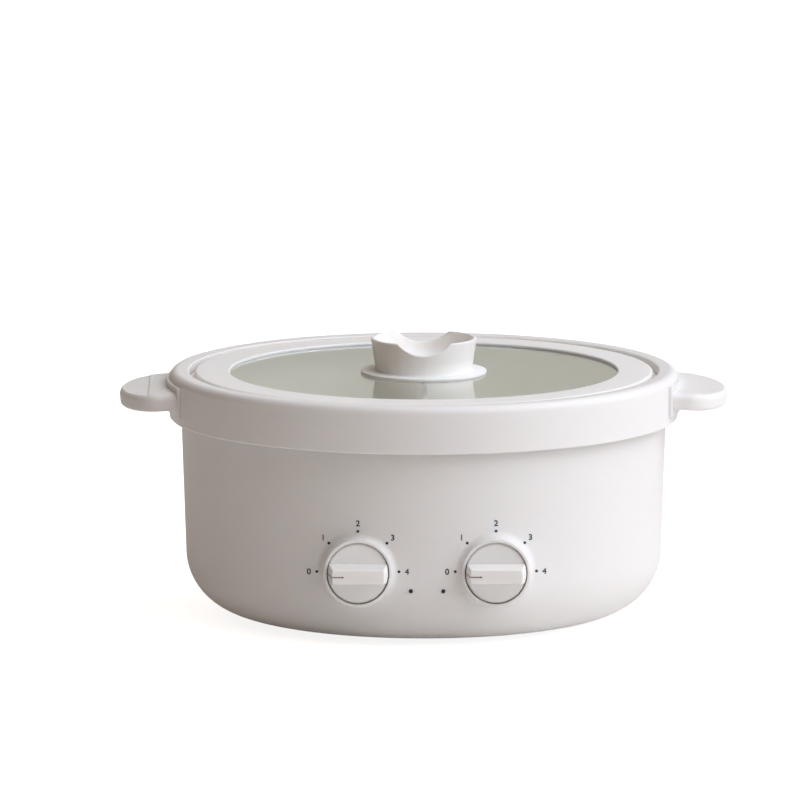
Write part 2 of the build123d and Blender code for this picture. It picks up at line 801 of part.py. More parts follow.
# ------------------------------------------------------------------ controls
for side, sign in sides.items():
    axis_plane = facing_front(sign * knob_x, 0, knob_z)

    # rotary switch behind the well's floor, with a blind bore for the shaft
    with BuildPart() as switch:
        with BuildSketch(axis_plane.offset(-switch_y)):
            RectangleRounded(switch_w, switch_w, switch_corner)
        extrude(amount=-switch_t)
        with BuildSketch(axis_plane.offset(-switch_y)):
            Circle(shaft_r + shaft_fit)
        extrude(amount=-shaft_in - shaft_fit, mode=Mode.SUBTRACT)
        with BuildSketch(axis_plane.offset(-switch_y)):
            for end in (-1, 1):
                with Locations((end * switch_screw_at, end * switch_screw_at)):
                    Circle(switch_screw_r)
        extrude(amount=-switch_screw_l, mode=Mode.SUBTRACT)
        with BuildSketch(axis_plane.offset(-switch_y - switch_t)):
            with GridLocations(switch_w / 2, switch_w / 2, 2, 2):
                Rectangle(tab_t, tab_w)
        extrude(amount=-tab_l)
    save(switch, f"switch_{side}")

    # D-shaped shaft that the knob is pushed on to
    with BuildPart() as shaft:
        with BuildSketch(axis_plane.offset(-switch_y - shaft_in)):
            Circle(shaft_r)
        extrude(amount=shaft_in + shaft_out)
        with BuildSketch(axis_plane.offset(-knob_back_y)):
            with Locations((0, shaft_flat + shaft_r)):
                Rectangle(2 * shaft_r, 2 * shaft_r)
        extrude(amount=shaft_out, mode=Mode.SUBTRACT)
    save(shaft, f"shaft_{side}")

    # knob: a tapered cup whose front is cut back on both sides of a full-width grip
    with BuildPart() as knob:
        with BuildSketch(axis_plane.offset(-disc_y)):
            Circle(knob_r)
        with BuildSketch(axis_plane.offset(-grip_y)):
            Circle(grip_end_r)
        loft()
        with BuildSketch(axis_plane.offset(-disc_y)):
            Rectangle(2 * knob_r, 2 * grip_foot_half)
        with BuildSketch(axis_plane.offset(-grip_y)):
            Rectangle(2 * knob_r, 2 * grip_front_half)
        loft(mode=Mode.INTERSECT)
        fillet(knob.edges().group_by(Axis.Y)[0], grip_round)
        with BuildSketch(axis_plane.offset(-knob_back_y)):
            Circle(knob_r)
        extrude(amount=knob_back_y - disc_y)
        disc_edges = knob.edges().filter_by_position(Axis.Y, disc_y, disc_y)
        chamfer(disc_edges.filter_by(GeomType.CIRCLE), knob_bevel)
        with BuildSketch(axis_plane.offset(-knob_back_y)):
            Circle(knob_r - knob_skin)
            Circle(hub_r, mode=Mode.SUBTRACT)
        extrude(amount=knob_back_y - disc_y - knob_skin, mode=Mode.SUBTRACT)
        with BuildSketch(axis_plane.offset(-knob_back_y)):
            Circle(shaft_r + shaft_fit)
            with Locations((0, shaft_flat + shaft_r + shaft_fit)):
                Rectangle(2 * knob_r, 2 * shaft_r, mode=Mode.SUBTRACT)
        extrude(amount=knob_back_y - switch_y + shaft_out + shaft_fit, mode=Mode.SUBTRACT)
        # pointer groove that shows the setting: over the grip's end and a little along its front
        with BuildSketch(Plane.XY.offset(knob_z)):
            with BuildLine():
                Polyline(
                    (sign * knob_x - pointer_r, grip_y - pointer_w),
                    (sign * knob_x - pointer_r, grip_y + pointer_depth),
                    (sign * knob_x - grip_end_r + pointer_depth, grip_y + pointer_depth),
                    (sign * knob_x - knob_r + pointer_depth, disc_y),
                    (sign * knob_x - knob_r - pointer_w, disc_y),
                    (sign * knob_x - knob_r - pointer_w, grip_y - pointer_w),
                    close=True,
                )
            make_face()
        extrude(amount=pointer_w / 2, both=True, mode=Mode.SUBTRACT)
        with BuildSketch(axis_plane.offset(-grip_y)):
            with Locations((-pointer_r, 0)):
                Circle(pointer_dot_r)
        extrude(amount=-pointer_depth, mode=Mode.SUBTRACT)
    save(knob, f"knob_{side}")

with BuildPart() as switch_screws:
    for sign in sides.values():
        floor_plane = facing_front(sign * knob_x, well_floor_y, knob_z)
        for end in (-1, 1):
            with BuildSketch(floor_plane):
                with Locations((end * switch_screw_at, end * switch_screw_at)):
                    Circle(switch_screw_r)
            extrude(amount=-switch_screw_l)
            with BuildSketch(floor_plane):
                with Locations((end * switch_screw_at, end * switch_screw_at)):
                    Circle(switch_head_r)
            extrude(amount=switch_head_t)
save(switch_screws, "switch_screws")

# ------------------------------------------------------------------ indicator lamps
with BuildPart() as indicator_lenses:
    with BuildSketch(facing_front(0, lamp_front_y, lamp_z)):
        with Locations((-lamp_x, 0), (lamp_x, 0)):
            Circle(lamp_r)
    extrude(amount=-lamp_l)
save(indicator_lenses, "indicator_lenses")

with BuildPart() as indicator_leds:
    with BuildSketch(facing_front(0, lamp_front_y + lamp_l, lamp_z)):
        with Locations((-lamp_x, 0), (lamp_x, 0)):
            Circle(lamp_r)
    extrude(amount=-led_l)
save(indicator_leds, "indicator_leds")

with BuildPart() as indicator_board:
    with BuildSketch(facing_front(0, board_y, lamp_z)):
        Rectangle(board_w, board_h)
    extrude(amount=-board_t)
save(indicator_board, "indicator_board")

# ------------------------------------------------------------------ power inlet
with BuildPart() as power_inlet:
    with BuildSketch(facing_back(0, inlet_pad_y, inlet_z)):
        RectangleRounded(inlet_flange_w, inlet_flange_h, inlet_corner)
    extrude(amount=inlet_flange_t)
    with BuildSketch(facing_back(0, inlet_rear_y, inlet_z)):
        RectangleRounded(inlet_shroud_w, inlet_shroud_h, inlet_corner)
    extrude(amount=inlet_face_y - inlet_rear_y)
    with BuildSketch(facing_back(0, inlet_face_y, inlet_z)):
        RectangleRounded(
            inlet_shroud_w - 2 * inlet_wall,
            inlet_shroud_h - 2 * inlet_wall,
            inlet_corner - inlet_wall,
        )
    extrude(amount=-socket_depth, mode=Mode.SUBTRACT)
    with BuildSketch(facing_back(0, inlet_face_y, inlet_z)):
        with GridLocations(pin_pitch, 0, 3, 1):
            Rectangle(pin_w, pin_h)
    extrude(amount=inlet_rear_y - inlet_face_y, mode=Mode.SUBTRACT)
    with BuildSketch(facing_back(0, inlet_pad_y, inlet_z)):
        with Locations((-inlet_screw_x, 0), (inlet_screw_x, 0)):
            Circle(inlet_screw_r + screw_gap)
    extrude(amount=inlet_flange_t, mode=Mode.SUBTRACT)
save(power_inlet, "power_inlet")

with BuildPart() as inlet_pins:
    with BuildSketch(facing_back(0, inlet_face_y - pin_recess, inlet_z)):
        with GridLocations(pin_pitch, 0, 3, 1):
            Rectangle(pin_w, pin_h)
    extrude(amount=inlet_rear_y - inlet_face_y + pin_recess - pin_tail)
save(inlet_pins, "inlet_pins")

with BuildPart() as inlet_screws:
    with BuildSketch(facing_back(0, inlet_pad_y + inlet_flange_t, inlet_z)):
        with Locations((-inlet_screw_x, 0), (inlet_screw_x, 0)):
            Circle(inlet_screw_r)
    extrude(amount=-inlet_screw_l)
    with BuildSketch(facing_back(0, inlet_pad_y + inlet_flange_t, inlet_z)):
        with Locations((-inlet_screw_x, 0), (inlet_screw_x, 0)):
            Circle(2 * inlet_screw_r)
    extrude(amount=screw_head_t)
save(inlet_screws, "inlet_screws")

# terminal block on the ledge, below the inlet
with BuildPart() as terminal_block:
    block_y = (ledge_in_r + ledge_out_r) / 2
    with BuildSketch(Plane.XY.offset(ledge_top_z)):
        with Locations((0, block_y)):
            Rectangle(terminal_w, terminal_d)
    extrude(amount=terminal_h)
    with BuildSketch(Plane.XY.offset(ledge_top_z + terminal_h)):
        with Locations((0, block_y)):
            with GridLocations(terminal_w / terminal_ways, 0, terminal_ways, 1):
                Circle(terminal_d / 4)
    extrude(amount=-terminal_h / 2, mode=Mode.SUBTRACT)
save(terminal_block, "terminal_block")

# ------------------------------------------------------------------ lid
with BuildPart() as lid_glass:
    with BuildSketch(Plane.XY.offset(glass_z)):
        Circle(glass_r)
        Circle(glass_hole_r, mode=Mode.SUBTRACT)
    extrude(amount=glass_t)
save(lid_glass, "lid_glass")

# moulded ring: grips the glass, rests on the pot's flange and is centred by a skirt in the pot
with BuildPart() as lid_ring:
    with BuildSketch(Plane.XZ) as section:
        with BuildLine():
            Polyline(
                (window_r, glass_top_z),
                (window_r, lid_top_z),
                (lid_r, lid_top_z),
                (lid_r, lid_z),
                (plug_r, lid_z),
                (plug_r, lid_z - plug_h),
                (plug_r - plug_t, lid_z - plug_h),
                (plug_r - plug_t, glass_z - lower_lip_t),
                (glass_r - lower_lip_w, glass_z - lower_lip_t),
                (glass_r - lower_lip_w, glass_z),
                (glass_r, glass_z),
                (glass_r, glass_top_z),
                close=True,
            )
        make_face()
        fillet(corner(section, lid_r, lid_top_z), lid_round)
        chamfer(corner(section, window_r, lid_top_z), window_bevel)
    revolve(axis=Axis.Z)
save(lid_ring, "lid_ring")

# ------------------------------------------------------------------ lid knob
# Flange and flared cup in one; two saddles across the rim hold a ladle or chopsticks.
cup_floor_z = glass_top_z + cup_floor_t
with BuildPart() as lid_knob:
    with BuildSketch(Plane.XZ) as cup:
        with BuildLine():
            Polyline(
                (0, glass_top_z + seal_t),
                (seal_r, glass_top_z + seal_t),
                (seal_r, glass_top_z),
                (grip_flange_r, glass_top_z),
                (grip_flange_r, glass_top_z + grip_flange_t),
                (cup_foot_r, glass_top_z + grip_flange_t),
                (cup_top_r, cup_top_z),
                (cup_top_r - cup_wall, cup_top_z),
                (cup_foot_r - cup_wall, cup_floor_z),
                (0, cup_floor_z),
                close=True,
            )
        make_face()
        fillet(corner(cup, cup_foot_r - cup_wall, cup_floor_z), cup_inner_round)
        fillet(corner(cup, cup_foot_r, glass_top_z + grip_flange_t), cup_foot_round)
        fillet(corner(cup, grip_flange_r, glass_top_z + grip_flange_t), grip_flange_round)
    revolve(axis=Axis.Z)
    with BuildSketch(Plane.XZ) as saddle:
        with Locations((0, cup_top_z)):
            Rectangle(2 * cup_top_r, saddle_r, align=(Align.CENTER, Align.MIN))
        with Locations((0, cup_top_z - saddle_depth + saddle_r)):
            Circle(saddle_r)
        saddle_half_w = sqrt(saddle_r**2 - (saddle_r - saddle_depth) ** 2)
        shoulders = [corner(saddle, end * saddle_half_w, cup_top_z) for end in (-1, 1)]
        fillet(shoulders, saddle_shoulder)
    extrude(amount=2 * cup_top_r, both=True, mode=Mode.SUBTRACT)
    rim_faces = lid_knob.faces().filter_by(
        lambda face: face.center().Z > cup_top_z - saddle_depth - rim_edge_round
        and face.normal_at().Z > 0.5
    )
    fillet(rim_faces.edges().filter_by(GeomType.LINE, reverse=True), rim_edge_round)
    with BuildSketch(Plane.XY.offset(glass_top_z)):
        Circle(lid_screw_r)
    extrude(amount=lid_screw_l - glass_t - washer_t, mode=Mode.SUBTRACT)
save(lid_knob, "lid_knob")

with BuildPart() as knob_seal:
    with BuildSketch(Plane.XY.offset(glass_top_z)):
        Circle(seal_r)
        Circle(glass_hole_r, mode=Mode.SUBTRACT)
    extrude(amount=seal_t)
save(knob_seal, "knob_seal")

with BuildPart() as lid_washer:
    with BuildSketch(Plane.XY.offset(glass_z)):
        Circle(washer_r)
        Circle(lid_screw_r + screw_gap, mode=Mode.SUBTRACT)
    extrude(amount=-washer_t)
save(lid_washer, "lid_washer")

with BuildPart() as lid_screw:
    with BuildSketch(Plane.XY.offset(glass_z - washer_t)):
        Circle(lid_screw_r)
    extrude(amount=lid_screw_l)
    with BuildSketch(Plane.XY.offset(glass_z - washer_t)):
        Circle(lid_screw_head_r)
    extrude(amount=-lid_screw_head_t)
save(lid_screw, "lid_screw")
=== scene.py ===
"""Dresses an electric hot pot with a lift-off lid: finishes, printed dials, screws, a studio."""

import math

import bpy
from bpy.props import FloatProperty, FloatVectorProperty, PointerProperty, StringProperty
from mathutils import Matrix, Vector


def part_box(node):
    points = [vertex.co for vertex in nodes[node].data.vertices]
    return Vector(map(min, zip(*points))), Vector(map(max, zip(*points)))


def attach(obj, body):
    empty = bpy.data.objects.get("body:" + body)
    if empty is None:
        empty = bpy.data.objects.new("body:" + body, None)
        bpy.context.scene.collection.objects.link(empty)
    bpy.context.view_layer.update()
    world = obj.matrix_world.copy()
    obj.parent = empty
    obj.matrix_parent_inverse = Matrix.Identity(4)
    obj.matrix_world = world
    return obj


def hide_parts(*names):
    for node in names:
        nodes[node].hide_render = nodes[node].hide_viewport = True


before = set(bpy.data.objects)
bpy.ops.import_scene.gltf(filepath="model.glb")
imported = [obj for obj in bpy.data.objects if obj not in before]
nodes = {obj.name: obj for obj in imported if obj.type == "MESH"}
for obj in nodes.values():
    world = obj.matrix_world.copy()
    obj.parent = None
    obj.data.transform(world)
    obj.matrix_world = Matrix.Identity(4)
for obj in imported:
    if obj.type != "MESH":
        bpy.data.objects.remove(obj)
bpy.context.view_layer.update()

bl_info = {
    "name": "Electric hot pot",
    "version": (1, 0, 0),
    "blender": (4, 5, 0),
    "location": "View3D > Sidebar > Hot pot",
    "description": "Finishes, dial marks, screws and a studio for a two-zone electric hot pot",
    "category": "Object",
}

MM = 0.001


def linear(code):
    """sRGB hex colour as linear red, green and blue."""
    parts = (int(code[i : i + 2], 16) / 255 for i in (1, 3, 5))
    return [c / 12.92 if c <= 0.04045 else ((c + 0.055) / 1.055) ** 2.4 for c in parts]


def colour(name, description, code):
    return FloatVectorProperty(
        name=name, description=description, subtype="COLOR", min=0, max=1, default=linear(code)
    )


def length(name, description, millimetres):
    return FloatProperty(
        name=name,
        description=description,
        unit="LENGTH",
        min=0,
        precision=5,
        default=millimetres * MM,
    )


def level(name, description, default, unit="NONE"):
    return FloatProperty(name=name, description=description, unit=unit, min=0, default=default)


# ---------------------------------------------------------------------------- settings
class HotPotPlastics(bpy.types.PropertyGroup):
    body: colour("Body", "Housing, top ring and handles", "#EDECEB")
    knobs: colour("Knobs", "Control knobs", "#F5F4F2")
    lid_ring: colour("Lid ring", "Ring round the glass and the lid's knob", "#F8F7F5")
    base: colour("Base", "Cover under the pot", "#DEDBD5")
    fittings: colour("Fittings", "Power inlet, switches and terminal block", "#24242A")
    roughness: FloatProperty(
        name="Roughness", description="Satin of the moulded plastic", min=0, max=1, default=0.46
    )
    grain: length("Grain", "Size of the spark-eroded grain left by the mould", 0.9)
    grain_depth: length("Grain depth", "Height of that grain", 0.004)


class HotPotDial(bpy.types.PropertyGroup):
    ink: colour("Ink", "Printed dots and numbers", "#2B2A2F")
    pointer: colour("Pointer", "Line in the knob's groove", "#8A6A66")
    lamp: colour("Lamp", "Lamp windows while they are off", "#050506")
    scale: StringProperty(
        name="Scale", description="One plain number for each setting", default="01234"
    )
    dot_circle: length("Dot circle", "Radius of the circle of dots round a knob", 25.3)
    dot_size: length("Dot size", "Diameter of a printed dot", 1.8)
    number_circle: length("Number circle", "Radius of the circle of numbers round a knob", 30.3)
    number_height: length("Number height", "Height of a printed number", 3.6)
    number_weight: length("Number weight", "Added to each side of a number's strokes", 0.13)
    rise: length("Rise", "Middle of the scale above the knob's axis", 1.3)
    sight: FloatProperty(
        name="Sight line",
        description="Fall of the cook's line of sight, along which the scale is laid on the wall",
        subtype="ANGLE",
        default=math.radians(8.8),
    )
    ink_depth: length("Ink depth", "Thickness of the print", 0.05)


class HotPotCookware(bpy.types.PropertyGroup):
    coating: colour("Coating", "Ceramic coating inside the pot", "#F0ECE3")
    fleck: colour("Fleck", "Darker flecks in the coating", "#C4BDAD")
    glass: colour("Glass", "Tint of the tempered glass", "#F6F8F6")
    silicone: colour("Silicone", "Gasket, seal and feet", "#CFC9BC")


class HotPotMetals(bpy.types.PropertyGroup):
    steel: colour("Steel", "Stainless and plated steel", "#C3C2BF")
    aluminium: colour("Aluminium", "Cast heating plates", "#B9BABC")
    brass: colour("Brass", "Pins of the power inlet", "#D9B36A")
    recess_width: length("Recess width", "Width of the cross in a screw's head", 0.8)
    recess_reach: length("Recess reach", "Length of each arm of that cross", 1.5)


class HotPotStudio(bpy.types.PropertyGroup):
    key: level("Key light", "Power of the window light", 38, unit="POWER")
    top: level("Top light", "Power of the light overhead", 46, unit="POWER")
    daylight: colour("Daylight", "Colour of both lights", "#E9F2FF")
    world: level("Room", "Brightness of the room round the pot", 0.42)
    room: colour("Room colour", "Warm walls round the pot", "#FFDCB8")
    floor: colour("Floor", "Pale table top", "#F0EEEA")
    glow: level("Floor glow", "White added where the floor is seen", 0.86)
    backdrop: colour("Backdrop", "Pale wall above the table that the glass mirrors", "#C2BFB6")


GROUPS = {
    "hotpot_plastics": HotPotPlastics,
    "hotpot_dial": HotPotDial,
    "hotpot_cookware": HotPotCookware,
    "hotpot_metals": HotPotMetals,
    "hotpot_studio": HotPotStudio,
}


# ---------------------------------------------------------------------------- helpers
def put(tree, kind, values=None, links=None, **settings):
    """Adds a node with its settings, its input values and the outputs that feed it."""
    node = tree.nodes.new(kind)
    for name, value in settings.items():
        setattr(node, name, value)
    for socket, value in (values or {}).items():
        node.inputs[socket].default_value = value
    for socket, sources in (links or {}).items():
        for source in sources if isinstance(sources, list) else [sources]:
            tree.links.new(source, node.inputs[socket])
    return node


def maths(tree, operation, *terms):
    """Output of a math node on sockets and plain numbers."""
    node = put(tree, "ShaderNodeMath", operation=operation)
    for socket, term in zip(node.inputs, terms):
        if isinstance(term, float):
            socket.default_value = term
        else:
            tree.links.new(term, socket)
    return node.outputs[0]


def new_material(name):
    """Empty node material and its tree."""
    material = bpy.data.materials.new(name)
    material.use_nodes = True
    material.node_tree.nodes.clear()
    return material, material.node_tree


def rgba(rgb, factor=1.0):
    """Colour with full alpha, made lighter or darker by a factor."""
    return [min(1.0, c * factor) for c in rgb[:3]] + [1.0]


def object_place(tree):
    """Place of the shaded point in the frame of its piece."""
    return put(tree, "ShaderNodeTexCoord").outputs["Object"]


def object_x(tree):
    """The same, from left to right only."""
    return put(tree, "ShaderNodeSeparateXYZ", links={0: object_place(tree)}).outputs["X"]


def noise(tree, place, size, detail):
    """Noise whose grains have one size."""
    values = {"Scale": 1 / size, "Detail": detail}
    return put(tree, "ShaderNodeTexNoise", values, {"Vector": place}).outputs["Fac"]


def blend(tree, first, second, factor):
    """Colour between two, by another node's output."""
    ends = {"A": first, "B": second}
    return put(tree, "ShaderNodeMix", ends, {"Factor": factor}, data_type="RGBA").outputs[2]


def ranged(tree, value, **ends):
    """Another node's output brought to a new range, such as to_min=0.2."""
    values = {name.replace("_", " ").title(): end for name, end in ends.items()}
    return put(tree, "ShaderNodeMapRange", values, {"Value": value}).outputs[0]


def relief(tree, height, depth):
    """Bump of one depth, by another node's output."""
    values = {"Strength": 1.0, "Distance": depth}
    return put(tree, "ShaderNodeBump", values, {"Height": height}).outputs[0]


def finish(tree, values, links):
    """Closes a material with one principled shader."""
    shader = put(tree, "ShaderNodeBsdfPrincipled", values, links)
    put(tree, "ShaderNodeOutputMaterial", links={"Surface": shader.outputs[0]})


def dress(material, *names):
    """Gives CAD pieces a finish."""
    for name in names:
        mesh = nodes[name].data
        mesh.materials.clear()
        mesh.materials.append(material)


def add_object(name, mesh):
    piece = bpy.data.objects.new(name, mesh)
    bpy.context.scene.collection.objects.link(piece)
    return piece


def freeze(piece):
    """Turns the result of a piece's modifiers into its own plain mesh."""
    depsgraph = bpy.context.evaluated_depsgraph_get()
    mesh = bpy.data.meshes.new_from_object(piece.evaluated_get(depsgraph), depsgraph=depsgraph)
    mesh.name = piece.name
    piece.modifiers.clear()
    piece.data = mesh


def run_tree(piece, tree, inputs):
    """Runs a geometry tree on a piece with its inputs set, then freezes the result."""
    modifier = piece.modifiers.new(tree.name, "NODES")
    modifier.node_group = tree
    sockets = {
        item.name: item.identifier
        for item in tree.interface.items_tree
        if item.item_type == "SOCKET" and item.in_out == "INPUT"
    }
    for name, value in inputs.items():
        modifier[sockets[name]] = value
    freeze(piece)


def new_tree(name, sockets):
    """Geometry tree with named inputs; each socket is a name, its type and its default."""
    tree = bpy.data.node_groups.new(name, "GeometryNodeTree")
    tree.interface.new_socket("Geometry", in_out="INPUT", socket_type="NodeSocketGeometry")
    for label, kind, default in sockets:
        socket = tree.interface.new_socket(label, in_out="INPUT", socket_type=kind)
        if default is not None:
            socket.default_value = default
    tree.interface.new_socket("Geometry", in_out="OUTPUT", socket_type="NodeSocketGeometry")
    return tree, tree.nodes.new("NodeGroupInput").outputs


def end_tree(tree, geometry, material):
    """Closes a geometry tree: real geometry with its material."""
    real = put(tree, "GeometryNodeRealizeInstances", links={"Geometry": geometry})
    done = put(
        tree,
        "GeometryNodeSetMaterial",
        links={"Geometry": real.outputs[0], "Material": material},
    )
    put(tree, "NodeGroupOutput", links={"Geometry": done.outputs[0]})


def circle(radius, count):
    """Points of a circle round the origin of a plane."""
    angles = (2 * math.pi * i / count for i in range(count))
    return [(radius * math.cos(angle), radius * math.sin(angle)) for angle in angles]


def band(first, count):
    """Quads between one ring of vertices and the next."""
    return [
        (first + i, first + (i + 1) % count, first + count + (i + 1) % count, first + count + i)
        for i in range(count)
    ]


def new_mesh(name, verts, faces=()):
    mesh = bpy.data.meshes.new(name)
    mesh.from_pydata(verts, [], faces)
    return mesh


# ---------------------------------------------------------------------------- finishes
def moulded_plastic(name, rgb, look, roughness=None, coarse=1.0):
    """Polypropylene from a spark-eroded mould: a soft satin with an even grain and flow clouds."""
    material, tree = new_material(name)
    place = object_place(tree)
    satin = look.roughness if roughness is None else roughness
    clouds = noise(tree, place, 60 * MM, 3.0)
    grain = noise(tree, place, look.grain, 2.0)
    finish(
        tree,
        {
            "IOR": 1.47,
            "Specular IOR Level": 0.35,
            "Subsurface Weight": 0.5,
            "Subsurface Radius": (1.0, 0.8, 0.65),
            "Subsurface Scale": 2.5 * MM,
        },
        {
            "Base Color": blend(tree, rgba(rgb, 0.975), rgba(rgb, 1.015), clouds),
            "Roughness": ranged(tree, clouds, to_min=satin - 0.03, to_max=satin + 0.04),
            "Normal": relief(tree, grain, coarse * look.grain_depth),
        },
    )
    return material


def tempered_glass(name, rgb):
    """Float glass, fire polished and tempered: clear, and a mirror at a low angle."""
    material, tree = new_material(name)
    waves = noise(tree, object_place(tree), 90 * MM, 1.0)
    glass = put(
        tree,
        "ShaderNodeBsdfPrincipled",
        {"Base Color": rgba(rgb), "IOR": 1.52, "Roughness": 0.0, "Transmission Weight": 1.0},
        {"Normal": relief(tree, waves, 0.01 * MM)},
    )
    # lamps shine straight through, so the pot under the lid stays lit
    clear = put(tree, "ShaderNodeBsdfTransparent", {"Color": rgba(rgb, 0.98)})
    lamp = put(tree, "ShaderNodeLightPath").outputs["Is Shadow Ray"]
    both = put(
        tree, "ShaderNodeMixShader", links={0: lamp, 1: glass.outputs[0], 2: clear.outputs[0]}
    )
    put(tree, "ShaderNodeOutputMaterial", links={"Surface": both.outputs[0]})
    return material


def ceramic_coating(name, rgb, fleck_rgb):
    """Sprayed ceramic non-stick on cast aluminium: satin, slightly pebbled, with small flecks."""
    material, tree = new_material(name)
    place = object_place(tree)
    spread = {"Scale": 1 / (3.2 * MM), "Randomness": 1.0}
    cells = put(tree, "ShaderNodeTexVoronoi", spread, {"Vector": place}).outputs["Distance"]
    flecks = ranged(tree, cells, from_min=0.10, from_max=0.17, to_min=1.0, to_max=0.0)
    pebbles = noise(tree, place, 1.4 * MM, 2.0)
    finish(
        tree,
        {"IOR": 1.5},
        {
            "Base Color": blend(tree, rgba(rgb), rgba(fleck_rgb), flecks),
            "Roughness": ranged(tree, pebbles, to_min=0.30, to_max=0.44),
            "Normal": relief(tree, pebbles, 0.02 * MM),
        },
    )
    return material


def silicone_rubber(name, rgb):
    """Moulded silicone: matt and a little dusty, so it catches a soft sheen."""
    material, tree = new_material(name)
    dust = noise(tree, object_place(tree), 4 * MM, 4.0)
    finish(
        tree,
        {"Roughness": 0.7, "IOR": 1.41, "Sheen Weight": 0.15},
        {
            "Base Color": blend(tree, rgba(rgb, 0.9), rgba(rgb, 1.05), dust),
            "Normal": relief(tree, dust, 0.01 * MM),
        },
    )
    return material


def bare_metal(name, rgb, roughness, grain, depth):
    """Plated or cast metal: its grain is the plating's or the mould's."""
    material, tree = new_material(name)
    grit = noise(tree, object_place(tree), grain, 4.0)
    finish(
        tree,
        {"Metallic": 1.0},
        {
            "Base Color": blend(tree, rgba(rgb, 0.92), rgba(rgb, 1.04), grit),
            "Roughness": ranged(tree, grit, to_min=roughness - 0.06, to_max=roughness + 0.08),
            "Normal": relief(tree, grit, depth),
        },
    )
    return material


def printing_ink(name, rgb, roughness):
    """Pad-printed ink or dyed plastic: flat colour, a touch uneven where the pad lifted."""
    material, tree = new_material(name)
    pad = noise(tree, object_place(tree), 0.6 * MM, 2.0)
    finish(
        tree,
        {"Roughness": roughness, "IOR": 1.5},
        {"Base Color": blend(tree, rgba(rgb, 0.85), rgba(rgb, 1.2), pad)},
    )
    return material


# ---------------------------------------------------------------------------- operators
class HOTPOT_OT_housing(bpy.types.Operator):
    """Finishes the moulded housing, the top ring and the side handles"""

    bl_idname = "hotpot.housing"
    bl_label = "Housing and handles"

    def execute(self, context):
        look = context.scene.hotpot_plastics
        plastic = moulded_plastic("moulded_polypropylene", look.body, look)
        dress(plastic, "outer_housing", "top_ring", "handle_left", "handle_right")
        return {"FINISHED"}


class HOTPOT_OT_lid(bpy.types.Operator):
    """Finishes the lid's glass, ring, knob and seal, and the gasket that it lies on"""

    bl_idname = "hotpot.lid"
    bl_label = "Lid"

    def execute(self, context):
        look = context.scene.hotpot_plastics
        ware = context.scene.hotpot_cookware
        plastic = moulded_plastic("moulded_lid_plastic", look.lid_ring, look)
        dress(plastic, "lid_ring", "lid_knob")
        dress(tempered_glass("tempered_glass", ware.glass), "lid_glass")
        dress(silicone_rubber("silicone_seal", ware.silicone), "knob_seal", "rim_gasket")
        return {"FINISHED"}


class HOTPOT_OT_pot(bpy.types.Operator):
    """Finishes the divided inner pot"""

    bl_idname = "hotpot.pot"
    bl_label = "Inner pot"

    def execute(self, context):
        ware = context.scene.hotpot_cookware
        dress(ceramic_coating("ceramic_coating", ware.coating, ware.fleck), "inner_pot")
        return {"FINISHED"}


class HOTPOT_OT_knobs(bpy.types.Operator):
    """Finishes the control knobs and fills the pointer groove of each"""

    bl_idname = "hotpot.knobs"
    bl_label = "Control knobs"

    def execute(self, context):
        look = context.scene.hotpot_plastics
        dial = context.scene.hotpot_dial
        plastic = moulded_plastic("moulded_knob_plastic", look.knobs, look)
        dress(plastic, "knob_left", "knob_right")
        ink = printing_ink("pointer_ink", dial.pointer, 0.5)
        for side in ("left", "right"):
            piece = add_object(f"pointer_line_{side}", self.pointer(side, ink))
            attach(piece, f"knob_{side}")
        return {"FINISHED"}

    def pointer(self, side, ink):
        """Paint on the floor of a knob's groove: over the grip's end, along its front, a dot."""
        low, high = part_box(f"knob_{side}")
        middle = (low + high) / 2
        rim = (high.x - low.x) / 2
        taper, grip = 2.5 * MM, 14.0 * MM  # slope of the grip's end, and its height
        outer, inner = 0.16 * MM, 0.32 * MM  # the paint's two faces, below the grip's surface
        half = 0.34 * MM  # half of the line's width
        dot_place, dot_radius, dot_sides = 9.6 * MM, 0.57 * MM, 24
        path = [(dot_place, 0), (rim - taper, 0), (rim, grip)]
        inward = [(0, 1), (1, 1), (1, 0)]
        section = [
            (middle.x - radius + sink * step[0], low.y + fall + sink * step[1])
            for sink, order in ((outer, 1), (inner, -1))
            for (radius, fall), step in list(zip(path, inward))[::order]
        ]
        count = len(section)
        verts = [(x, y, middle.z + reach) for reach in (-half, half) for x, y in section]
        # the section bends, so each end of the line is closed by two quads
        faces = [(0, 5, 4, 1), (1, 4, 3, 2), (6, 7, 10, 11), (7, 8, 9, 10)] + band(0, count)
        first = len(verts)
        verts += [
            (middle.x - dot_place + x, low.y + sink, middle.z + z)
            for sink in (outer, inner)
            for x, z in circle(dot_radius, dot_sides)
        ]
        faces += band(first, dot_sides)
        faces.append(tuple(reversed(range(first, first + dot_sides))))
        faces.append(tuple(range(first + dot_sides, first + 2 * dot_sides)))
        mesh = new_mesh(f"pointer_line_{side}", verts, faces)
        mesh.materials.append(ink)
        return mesh


